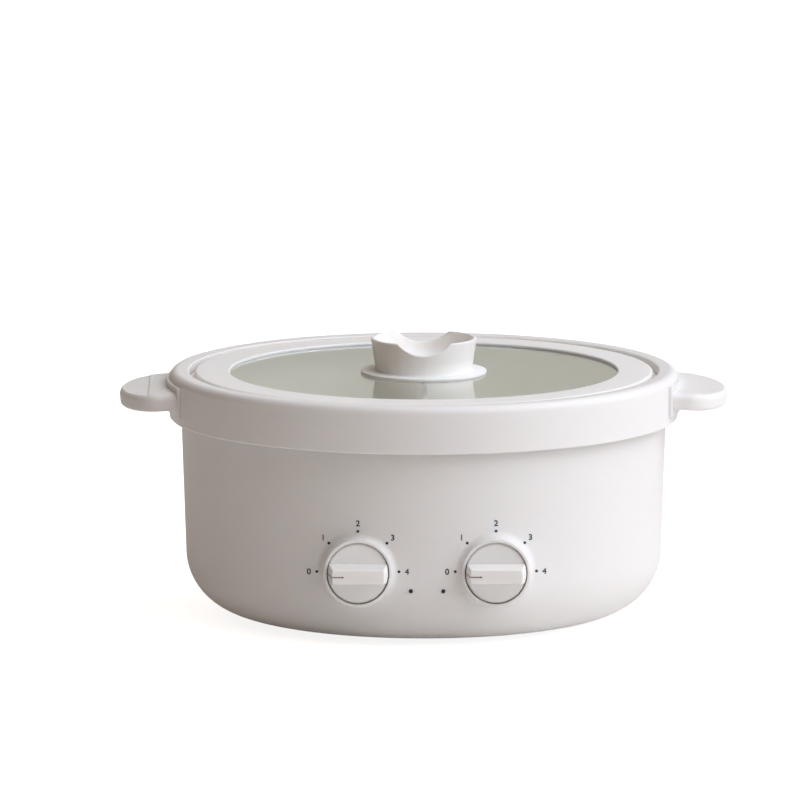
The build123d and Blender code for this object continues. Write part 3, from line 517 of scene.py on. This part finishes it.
def print_tree(ink):
    """Dots and numbers on an arc, carried along the line of sight on to the curved wall."""
    tree, given = new_tree(
        "dial_print",
        [
            ("Wall", "NodeSocketObject", None),
            ("Centre", "NodeSocketVector", None),
            ("Sight", "NodeSocketVector", None),
            ("Scale", "NodeSocketString", "01234"),
            ("Dot Circle", "NodeSocketFloat", 25 * MM),
            ("Dot Size", "NodeSocketFloat", 1.8 * MM),
            ("Number Circle", "NodeSocketFloat", 30 * MM),
            ("Number Height", "NodeSocketFloat", 3.7 * MM),
            ("Weight", "NodeSocketFloat", 0.08 * MM),
            ("Depth", "NodeSocketFloat", 0.05 * MM),
            ("Ink", "NodeSocketMaterial", ink),
        ],
    )
    steps = put(tree, "FunctionNodeStringLength", links={"String": given["Scale"]})

    def half_circle(radius):
        """One point per setting, from off on the left clockwise to full on the right."""
        arc = put(
            tree,
            "GeometryNodeCurveArc",
            {"Start Angle": math.pi, "Sweep Angle": -math.pi},
            {"Resolution": steps.outputs[0], "Radius": radius},
            mode="RADIUS",
        )
        points = put(
            tree, "GeometryNodeCurveToPoints", links={0: arc.outputs[0]}, mode="EVALUATED"
        )
        return points.outputs["Points"]

    disc = put(
        tree,
        "GeometryNodeMeshCircle",
        {"Vertices": 24},
        {"Radius": maths(tree, "MULTIPLY", given["Dot Size"], 0.5)},
        fill_type="TRIANGLE_FAN",
    )
    dots = put(
        tree,
        "GeometryNodeInstanceOnPoints",
        links={"Points": half_circle(given["Dot Circle"]), "Instance": disc.outputs[0]},
    )
    capital_height = 0.7  # of the default font, for a size of 1
    letters = put(
        tree,
        "GeometryNodeStringToCurves",
        links={
            "String": given["Scale"],
            "Size": maths(tree, "MULTIPLY", given["Number Height"], 1 / capital_height),
        },
        pivot_mode="MIDPOINT",
    )
    stops = put(
        tree,
        "GeometryNodeSampleIndex",
        links={
            "Geometry": half_circle(given["Number Circle"]),
            "Value": put(tree, "GeometryNodeInputPosition").outputs[0],
            "Index": put(tree, "GeometryNodeInputIndex").outputs[0],
        },
        data_type="FLOAT_VECTOR",
    )
    # an instance starts at its glyph's lower left corner, so the glyph's middle is taken off
    place = put(
        tree,
        "ShaderNodeVectorMath",
        links={0: stops.outputs[0], 1: letters.outputs["Pivot Point"]},
        operation="SUBTRACT",
    )
    spread = put(
        tree,
        "GeometryNodeSetPosition",
        links={"Geometry": letters.outputs[0], "Position": place.outputs[0]},
    )
    loose = put(tree, "GeometryNodeRealizeInstances", links={"Geometry": spread.outputs[0]})
    outline = put(
        tree, "GeometryNodeResampleCurve", links={"Curve": loose.outputs[0]}, mode="EVALUATED"
    )
    side = put(
        tree,
        "ShaderNodeVectorMath",
        {1: (0, 0, 1)},
        {0: put(tree, "GeometryNodeInputTangent").outputs[0]},
        operation="CROSS_PRODUCT",
    )
    gain = put(
        tree,
        "ShaderNodeVectorMath",
        links={0: side.outputs[0], "Scale": given["Weight"]},
        operation="SCALE",
    )
    bold = put(
        tree,
        "GeometryNodeSetPosition",
        links={"Geometry": outline.outputs[0], "Offset": gain.outputs[0]},
    )
    numbers = put(tree, "GeometryNodeFillCurve", links={"Curve": bold.outputs[0]}, mode="TRIANGLES")
    flat = put(tree, "GeometryNodeJoinGeometry", links={0: [dots.outputs[0], numbers.outputs[0]]})
    whole = put(tree, "GeometryNodeRealizeInstances", links={"Geometry": flat.outputs[0]})
    fine = put(tree, "GeometryNodeSubdivideMesh", {"Level": 2}, {"Mesh": whole.outputs[0]})
    upright = put(
        tree,
        "GeometryNodeTransform",
        {"Rotation": (math.pi / 2, 0, 0)},
        {"Geometry": fine.outputs[0], "Translation": given["Centre"]},
    )
    wall = put(
        tree,
        "GeometryNodeObjectInfo",
        links={"Object": given["Wall"]},
        transform_space="RELATIVE",
    )
    ray = put(
        tree,
        "GeometryNodeRaycast",
        {"Ray Length": 0.5},
        {"Target Geometry": wall.outputs["Geometry"], "Ray Direction": given["Sight"]},
    )
    landed = put(
        tree,
        "GeometryNodeSetPosition",
        links={"Geometry": upright.outputs[0], "Position": ray.outputs["Hit Position"]},
    )
    raised = put(
        tree,
        "GeometryNodeExtrudeMesh",
        {"Offset": (0, -1, 0), "Individual": False},
        {"Mesh": landed.outputs[0], "Offset Scale": given["Depth"]},
        mode="FACES",
    )
    end_tree(tree, raised.outputs[0], given["Ink"])
    return tree


class HOTPOT_OT_dial_marks(bpy.types.Operator):
    """Prints the dots and plain numbers round each control knob"""

    bl_idname = "hotpot.dial_marks"
    bl_label = "Dial marks"

    def execute(self, context):
        dial = context.scene.hotpot_dial
        ink = printing_ink("pad_printed_ink", dial.ink, 0.55)
        tree = print_tree(ink)
        sight = Vector((0, math.cos(dial.sight), -math.sin(dial.sight)))
        disc_depth = 9.5 * MM  # from the knob's back to the face of its disc
        run_up = 30 * MM  # the scale starts this far before the disc, clear of the wall
        for side in ("left", "right"):
            low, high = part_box(f"knob_{side}")
            middle = (low + high) / 2
            centre = Vector((middle.x, high.y - disc_depth, middle.z + dial.rise))
            marks = add_object(f"dial_marks_{side}", bpy.data.meshes.new("marks"))
            inputs = {
                "Wall": nodes["outer_housing"],
                "Centre": centre - sight * run_up,
                "Sight": sight,
                "Scale": dial.scale,
                "Dot Circle": dial.dot_circle,
                "Dot Size": dial.dot_size,
                "Number Circle": dial.number_circle,
                "Number Height": dial.number_height,
                "Weight": dial.number_weight,
                "Depth": dial.ink_depth,
                "Ink": ink,
            }
            run_tree(marks, tree, inputs)
            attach(marks, "body")
        return {"FINISHED"}


def turned(name, steps, around=40):
    """Closed turned solid round Z; each step is a radius and a height, from the bottom up."""
    verts = [(x, y, height) for radius, height in steps for x, y in circle(radius, around)]
    last = len(verts) - around
    faces = [face for first in range(0, last, around) for face in band(first, around)]
    faces += [tuple(reversed(range(around))), tuple(range(last, last + around))]
    return new_mesh(name, verts, faces)


def screw_tree(steel):
    """One pan-head screw per point, each with a cross recess and a turn of its own."""
    tree, given = new_tree(
        "cross_head_screws",
        [
            ("Screw", "NodeSocketObject", None),
            ("Recess Width", "NodeSocketFloat", 0.8 * MM),
            ("Recess Length", "NodeSocketFloat", 3.0 * MM),
            ("Recess Depth", "NodeSocketFloat", 1.0 * MM),
            ("Seed", "NodeSocketInt", 3),
            ("Steel", "NodeSocketMaterial", steel),
        ],
    )
    screw = put(
        tree,
        "GeometryNodeObjectInfo",
        links={"Object": given["Screw"]},
        transform_space="ORIGINAL",
    )
    # each bar of the cross is centred on the head's top, so half of its height cuts
    height = maths(tree, "MULTIPLY", given["Recess Depth"], 2.0)
    bars = []
    for along, across in (("Recess Length", "Recess Width"), ("Recess Width", "Recess Length")):
        sides = {"X": given[along], "Y": given[across], "Z": height}
        size = put(tree, "ShaderNodeCombineXYZ", links=sides)
        cube = put(tree, "GeometryNodeMeshCube", links={"Size": size.outputs[0]})
        bars.append(cube.outputs[0])
    cut = put(
        tree,
        "GeometryNodeMeshBoolean",
        links={"Mesh 1": screw.outputs["Geometry"], "Mesh 2": bars},
        operation="DIFFERENCE",
        solver="EXACT",
    )
    aim = put(
        tree, "GeometryNodeInputNamedAttribute", {"Name": "aim"}, data_type="FLOAT_VECTOR"
    )
    stand = put(
        tree, "FunctionNodeAlignRotationToVector", links={"Vector": aim.outputs[0]}, axis="Z"
    )
    spin = put(
        tree,
        "FunctionNodeRandomValue",
        {"Min": 0.0, "Max": math.pi / 2},
        {"Seed": given["Seed"]},
        data_type="FLOAT",
    )
    turn = put(tree, "ShaderNodeCombineXYZ", links={"Z": spin.outputs["Value"]})
    placed = put(
        tree,
        "GeometryNodeInstanceOnPoints",
        links={
            "Points": given["Geometry"],
            "Instance": cut.outputs["Mesh"],
            "Rotation": stand.outputs[0],
        },
    )
    turned_round = put(
        tree,
        "GeometryNodeRotateInstances",
        {"Local Space": True},
        {"Instances": placed.outputs[0], "Rotation": turn.outputs[0]},
    )
    end_tree(tree, turned_round.outputs[0], given["Steel"])
    return tree


class HOTPOT_OT_screws(bpy.types.Operator):
    """Puts real cross-head screws in the base cover and the power inlet"""

    bl_idname = "hotpot.screws"
    bl_label = "Visible screws"

    def execute(self, context):
        metal = context.scene.hotpot_metals
        steel = bare_metal("zinc_plated_screw", metal.steel, 0.3, 1.2 * MM, 0.003 * MM)
        tree = screw_tree(steel)
        shared = {
            "Recess Width": metal.recess_width,
            "Recess Length": 2 * metal.recess_reach,
            "Recess Depth": 1.1 * MM,
            "Seed": 3,
            "Steel": steel,
        }
        head = 3.0 * MM  # radius of every head
        low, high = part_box("cover_screws")
        circle_radius = high.x - head
        places = [(x, y, low.z) for x, y in circle(circle_radius, 4)]
        self.screws("cover_screws", places, (0, 0, -1), head, high.z - low.z, tree, shared)
        low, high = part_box("inlet_screws")
        middle = (low.z + high.z) / 2
        places = [(x, high.y, middle) for x in (low.x + head, high.x - head)]
        self.screws("inlet_screws", places, (0, 1, 0), head, high.y - low.y, tree, shared)
        return {"FINISHED"}

    def screws(self, node, places, aim, head, reach, tree, shared):
        """Pan-head screws in the places of a CAD node's, pointing out along one direction."""
        shank, rise = head / 2, 1.8 * MM
        # from the tip up to the crown of the head, which lies at 0
        steps = [
            (0.3 * shank, -reach),
            (0.95 * shank, -reach + shank),
            (0.95 * shank, -rise),
            (head, -rise),
            (head, -0.5 * rise),
            (0.95 * head, -0.25 * rise),
            (0.8 * head, -0.07 * rise),
            (0.55 * head, 0),
        ]
        pattern = add_object(f"{node}_pattern", turned(f"{node}_pattern", steps))
        points = new_mesh(f"{node}_points", places)
        directions = points.attributes.new("aim", "FLOAT_VECTOR", "POINT")
        for direction in directions.data:
            direction.vector = aim
        piece = add_object(f"{node}_cross_head", points)
        run_tree(piece, tree, {"Screw": pattern, **shared})
        bpy.data.objects.remove(pattern)
        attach(piece, "body")
        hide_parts(node)


class HOTPOT_OT_lamps(bpy.types.Operator):
    """Finishes the two lamp windows between the knobs"""

    bl_idname = "hotpot.lamps"
    bl_label = "Lamps"

    def execute(self, context):
        dial = context.scene.hotpot_dial
        dress(printing_ink("smoked_lens", dial.lamp, 0.4), "indicator_lenses", "indicator_leds")
        return {"FINISHED"}


class HOTPOT_OT_underside(bpy.types.Operator):
    """Finishes the base cover, the feet, the power inlet, the plain screws and the works"""

    bl_idname = "hotpot.underside"
    bl_label = "Underside and works"

    def execute(self, context):
        look = context.scene.hotpot_plastics
        metal = context.scene.hotpot_metals
        ware = context.scene.hotpot_cookware
        base = moulded_plastic("moulded_base_plastic", look.base, look, roughness=0.5, coarse=2.0)
        dress(base, "base_cover")
        dress(silicone_rubber("silicone_feet", ware.silicone), "feet")
        fittings = moulded_plastic(
            "glass_filled_nylon", look.fittings, look, roughness=0.45, coarse=2.0
        )
        dress(
            fittings,
            "switch_left",
            "switch_right",
            "terminal_block",
            "indicator_board",
            "power_inlet",
        )
        plated = bare_metal("zinc_plated_steel", metal.steel, 0.32, 1.5 * MM, 0.004 * MM)
        dress(
            plated, "shield_screws", "pillar_screws", "switch_screws", "handle_screws", "lid_screw"
        )
        sheet = bare_metal("satin_stainless_steel", metal.steel, 0.28, 2.5 * MM, 0.003 * MM)
        dress(
            sheet,
            "heating_tube_left",
            "heating_tube_right",
            "thermal_fuses",
            "heat_shield",
            "shield_posts",
            "pot_pillars",
            "thermostat_straps",
            "shaft_left",
            "shaft_right",
            "lid_washer",
        )
        cast = bare_metal("cast_aluminium", metal.aluminium, 0.48, 1.2 * MM, 0.03 * MM)
        dress(
            cast,
            "heating_plate_left",
            "heating_plate_right",
            "thermostat_left",
            "thermostat_right",
        )
        dress(bare_metal("polished_brass", metal.brass, 0.22, 2 * MM, 0.002 * MM), "inlet_pins")
        return {"FINISHED"}


# places and sides in metres, angles in radians, the lens in millimetres
POT_MIDDLE = Vector((0, 0, 0.09))
WINDOW_PLACE, WINDOW_SIDE = Vector((1.95, -0.97, 1.35)), 2.4
OVERHEAD_PLACE, OVERHEAD_SIDE = Vector((1.0, -0.3, 2.3)), 3.0
TABLE_HALF = 4.0
CAMERA_PLACE = Vector((-0.0834, -5.9994, 1.0645))
CAMERA_TURN, CAMERA_DIP = -0.0114, 0.1535
CAMERA_LENS, CAMERA_SENSOR = 432.36, 36


class HOTPOT_OT_studio(bpy.types.Operator):
    """Builds the pale table, the soft window light and the camera"""

    bl_idname = "hotpot.studio"
    bl_label = "Studio"

    def execute(self, context):
        scene = context.scene
        studio = scene.hotpot_studio
        scene.view_settings.view_transform = "Standard"
        self.table(studio)
        self.room(scene, studio)
        self.lamp("window_light", WINDOW_PLACE, WINDOW_SIDE, studio.key, studio.daylight)
        self.lamp("top_light", OVERHEAD_PLACE, OVERHEAD_SIDE, studio.top, studio.daylight)
        self.camera(scene)
        return {"FINISHED"}

    def seen(self, tree, lit_from, most):
        """1 for the rays that show the background; gloss finds it dimmer towards the dark left."""
        ray = put(tree, "ShaderNodeLightPath").outputs
        dark_to, dimmest = -0.9, 0.1 * most
        lit = ranged(
            tree,
            object_x(tree),
            from_min=dark_to,
            from_max=lit_from,
            to_min=dimmest,
            to_max=most,
        )
        gloss = maths(tree, "MULTIPLY", ray["Is Glossy Ray"], lit)
        direct = maths(tree, "MAXIMUM", ray["Is Camera Ray"], ray["Is Transmission Ray"])
        return maths(tree, "MAXIMUM", direct, gloss)

    def table(self, studio):
        """Pale table top: white to the eye and to glass, yet it keeps the pot's shadow."""
        material, tree = new_material("pale_table_top")
        glow = maths(tree, "MULTIPLY", self.seen(tree, lit_from=0.6, most=0.4), studio.glow)
        matt = put(tree, "ShaderNodeBsdfDiffuse", {"Color": rgba(studio.floor)})
        white = put(tree, "ShaderNodeEmission", {"Color": (1, 1, 1, 1)}, {"Strength": glow})
        both = put(tree, "ShaderNodeAddShader", links={0: matt.outputs[0], 1: white.outputs[0]})
        put(tree, "ShaderNodeOutputMaterial", links={"Surface": both.outputs[0]})
        half = TABLE_HALF
        corners = [(-half, -half, 0), (half, -half, 0), (half, half, 0), (-half, half, 0)]
        mesh = new_mesh("table_top", corners, [(0, 1, 2, 3)])
        mesh.materials.append(material)
        table = add_object("table_top", mesh)

    def room(self, scene, studio):
        """White to the eye, a pale wall to gloss and glass, and a dimmer warm room to all else."""
        world = bpy.data.worlds.new("pale_room")
        scene.world = world
        world.use_nodes = True
        tree = world.node_tree
        tree.nodes.clear()
        dark_side = 0.2 * studio.world
        strength = ranged(
            tree, object_x(tree), from_min=-1.0, to_min=dark_side, to_max=studio.world
        )
        room = put(
            tree, "ShaderNodeBackground", {"Color": rgba(studio.room)}, {"Strength": strength}
        )
        eye = put(tree, "ShaderNodeLightPath").outputs["Is Camera Ray"]
        wall = blend(tree, rgba(studio.backdrop), (1, 1, 1, 1), eye)
        view = put(tree, "ShaderNodeBackground", {"Strength": 1.0}, {"Color": wall})
        both = put(
            tree,
            "ShaderNodeMixShader",
            links={
                0: self.seen(tree, lit_from=0.0, most=1.0),
                1: room.outputs[0],
                2: view.outputs[0],
            },
        )
        put(tree, "ShaderNodeOutputWorld", links={"Surface": both.outputs[0]})

    def lamp(self, name, place, side, power, tint):
        """Soft square light aimed at the middle of the pot."""
        light = bpy.data.lights.new(name, "AREA")
        light.color = tint
        light.shape = "RECTANGLE"
        light.size = light.size_y = side
        light.energy = power
        lamp = add_object(name, light)
        lamp.location = place
        lamp.rotation_euler = (POT_MIDDLE - place).to_track_quat("-Z", "Y").to_euler()

    def camera(self, scene):
        """Long lens from a little above, a hair left of the middle."""
        turn, dip = CAMERA_TURN, CAMERA_DIP
        ahead = Vector(
            (-math.sin(turn) * math.cos(dip), math.cos(turn) * math.cos(dip), -math.sin(dip))
        )
        right = Vector((math.cos(turn), math.sin(turn), 0))
        data = bpy.data.cameras.new("camera")
        data.sensor_width = CAMERA_SENSOR
        data.lens = CAMERA_LENS
        data.clip_start, data.clip_end = 0.1, 100
        camera = add_object("camera", data)
        axes = Matrix((right, right.cross(ahead), -ahead)).transposed()
        camera.matrix_world = Matrix.Translation(CAMERA_PLACE) @ axes.to_4x4()
        scene.camera = camera


OPERATORS = (
    HOTPOT_OT_housing,
    HOTPOT_OT_lid,
    HOTPOT_OT_pot,
    HOTPOT_OT_knobs,
    HOTPOT_OT_dial_marks,
    HOTPOT_OT_lamps,
    HOTPOT_OT_underside,
    HOTPOT_OT_screws,
    HOTPOT_OT_studio,
)


class HOTPOT_PT_panel(bpy.types.Panel):
    """Lists the steps that dress the hot pot"""

    bl_label = "Hot pot"
    bl_idname = "HOTPOT_PT_panel"
    bl_space_type = "VIEW_3D"
    bl_region_type = "UI"
    bl_category = "Hot pot"

    def draw(self, context):
        for operator in OPERATORS:
            self.layout.operator(operator.bl_idname)
        for name in GROUPS:
            group = getattr(context.scene, name)
            box = self.layout.box()
            for prop in group.__annotations__:
                box.prop(group, prop)


def register():
    for cls in (*GROUPS.values(), *OPERATORS, HOTPOT_PT_panel):
        bpy.utils.register_class(cls)
    for name, cls in GROUPS.items():
        setattr(bpy.types.Scene, name, PointerProperty(type=cls))


def unregister():
    for name in GROUPS:
        delattr(bpy.types.Scene, name)
    for cls in reversed((*GROUPS.values(), *OPERATORS, HOTPOT_PT_panel)):
        bpy.utils.unregister_class(cls)


def main():
    """Runs every step."""
    register()
    for operator in OPERATORS:
        group, name = operator.bl_idname.split(".")
        getattr(getattr(bpy.ops, group), name)()


if __name__ == "__main__":
    main()
